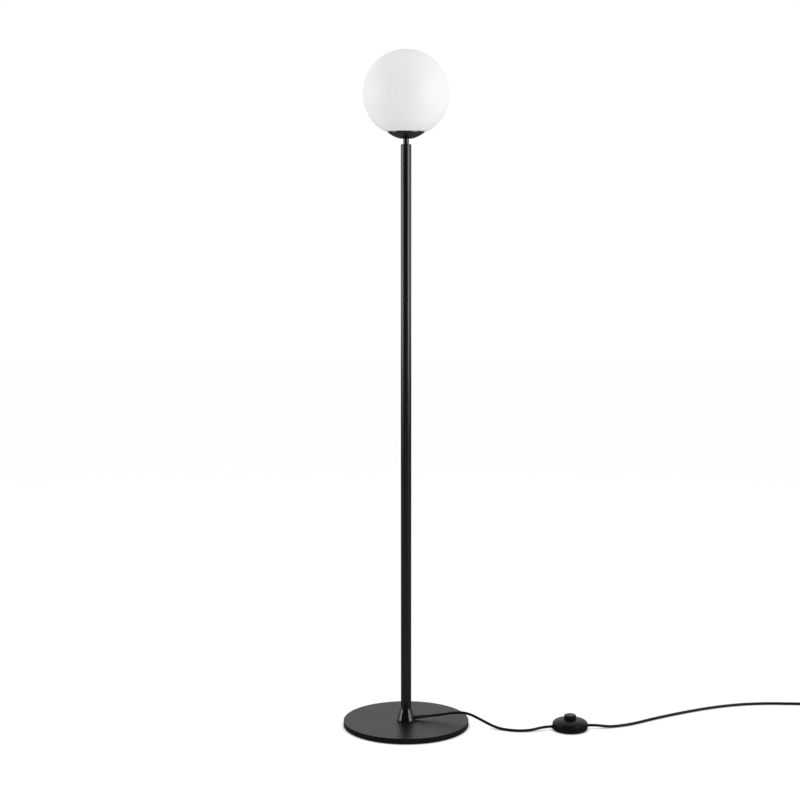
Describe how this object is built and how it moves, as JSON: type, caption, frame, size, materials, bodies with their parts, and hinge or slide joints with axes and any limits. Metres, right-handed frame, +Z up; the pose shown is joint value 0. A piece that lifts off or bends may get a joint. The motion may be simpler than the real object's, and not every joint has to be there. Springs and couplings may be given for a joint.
{
  "type": "globe floor lamp",
  "caption": "Floor lamp with a round steel base plate, a slim upright tube and an opal glass globe in a shallow cup, fed by a lead with a foot switch and a plug.",
  "frame": {"origin": "on the floor under the tube's axis, at the middle of the base plate's pad", "axes": "+Z up along the tube; +X the way the lead leaves the foot; -Y towards the viewer of the picture"},
  "size_m": [1.0816, 0.2637, 1.2781],
  "materials": {
    "foot_pad_foam": "matte dark foam pad",
    "base_black": "semi-matt black powder coat",
    "tube_black": "satin black powder coat",
    "collar_black": "satin-gloss black enamel",
    "stem_black": "satin black enamel on steel",
    "cup_black": "semi-matt black powder coat",
    "zinc_steel": "bright zinc plating",
    "spring_steel": "bright spring steel",
    "bushing_rubber": "soft black rubber",
    "cord_black": "smooth black sheath",
    "silicone_clear": "milky silicone rubber",
    "opal_glass": "smooth opal white glass, not see-through",
    "holder_black": "smooth black moulded resin",
    "holder_white": "white ceramic-like insulator",
    "brass_plain": "plain brass",
    "core_brown": "brown core insulation",
    "core_blue": "blue core insulation",
    "solder_tip": "dull solder",
    "insulator_black": "black glass-like insulator",
    "cap_nickel": "nickel-plated screw cap",
    "bulb_white": "white housing",
    "board_white": "white solder mask on an aluminium board",
    "bulb_frosted": "frosted diffuser",
    "switch_black": "satin black moulded plastic",
    "insert_grey": "grey contact block",
    "clamp_white": "white nylon",
    "pin_nickel": "nickel-plated brass pins"
  },
  "bodies": {
    "lamp": {"base_pad": "foot_pad_foam", "base_plate": "base_black", "flange_screws": "zinc_steel", "pole_flange": "zinc_steel", "pole_tube": "tube_black", "pole_top_plug": "tube_black", "collar": "collar_black", "cord_bushing": "bushing_rubber", "lead_in_pole": "cord_black", "stem": "stem_black", "cup": "cup_black", "spring_clips": "spring_steel", "lock_nut": "zinc_steel", "globe_gasket": "silicone_clear", "holder_cap": "holder_black", "holder_core": "holder_white", "holder_terminals": "brass_plain", "holder_screws": "zinc_steel", "holder_shell": "holder_black", "thread_sleeve": "brass_plain", "holder_contacts": "brass_plain", "conductor_live": "core_brown", "conductor_neutral": "core_blue", "switch_pad": "bushing_rubber", "switch_base": "switch_black", "switch_cover": "switch_black", "button_spring": "spring_steel", "switch_insert": "insert_grey", "switch_terminals": "brass_plain", "switch_live_cores": "core_brown", "switch_bypass_core": "core_blue", "switch_cord_ends": "cord_black", "switch_grommets": "bushing_rubber", "cord_clamps": "clamp_white", "clamp_screws": "zinc_steel", "switch_screws": "zinc_steel", "cord_lamp_side": "cord_black", "cord_wall_side": "cord_black", "cord_coil": "cord_black", "plug_relief": "cord_black", "plug_body": "switch_black", "plug_pins": "pin_nickel"},
    "globe": {"globe": "opal_glass"},
    "bulb": {"bulb_tip": "solder_tip", "bulb_insulator": "insulator_black", "bulb_cap": "cap_nickel", "bulb_collar": "bulb_white", "bulb_board": "board_white", "bulb_envelope": "bulb_frosted"},
    "button": {"switch_button": "switch_black", "button_plunger": "insert_grey"}
  },
  "joints": [
    {"name": "globe_pull_off", "type": "slide", "parent": "lamp", "child": "globe", "axis": [0, 0, 1], "range_m": [0, 0.11]},
    {"name": "bulb_unscrew", "type": "slide", "parent": "lamp", "child": "bulb", "axis": [0, 0, 1], "range_m": [0, 0.026]},
    {"name": "switch_press", "type": "slide", "parent": "lamp", "child": "button", "axis": [0, 0, -1], "range_m": [0, 0.0035], "stiffness_N_per_m": 900, "springref_m": -0.004, "deforming": ["button_spring"]}
  ]
}
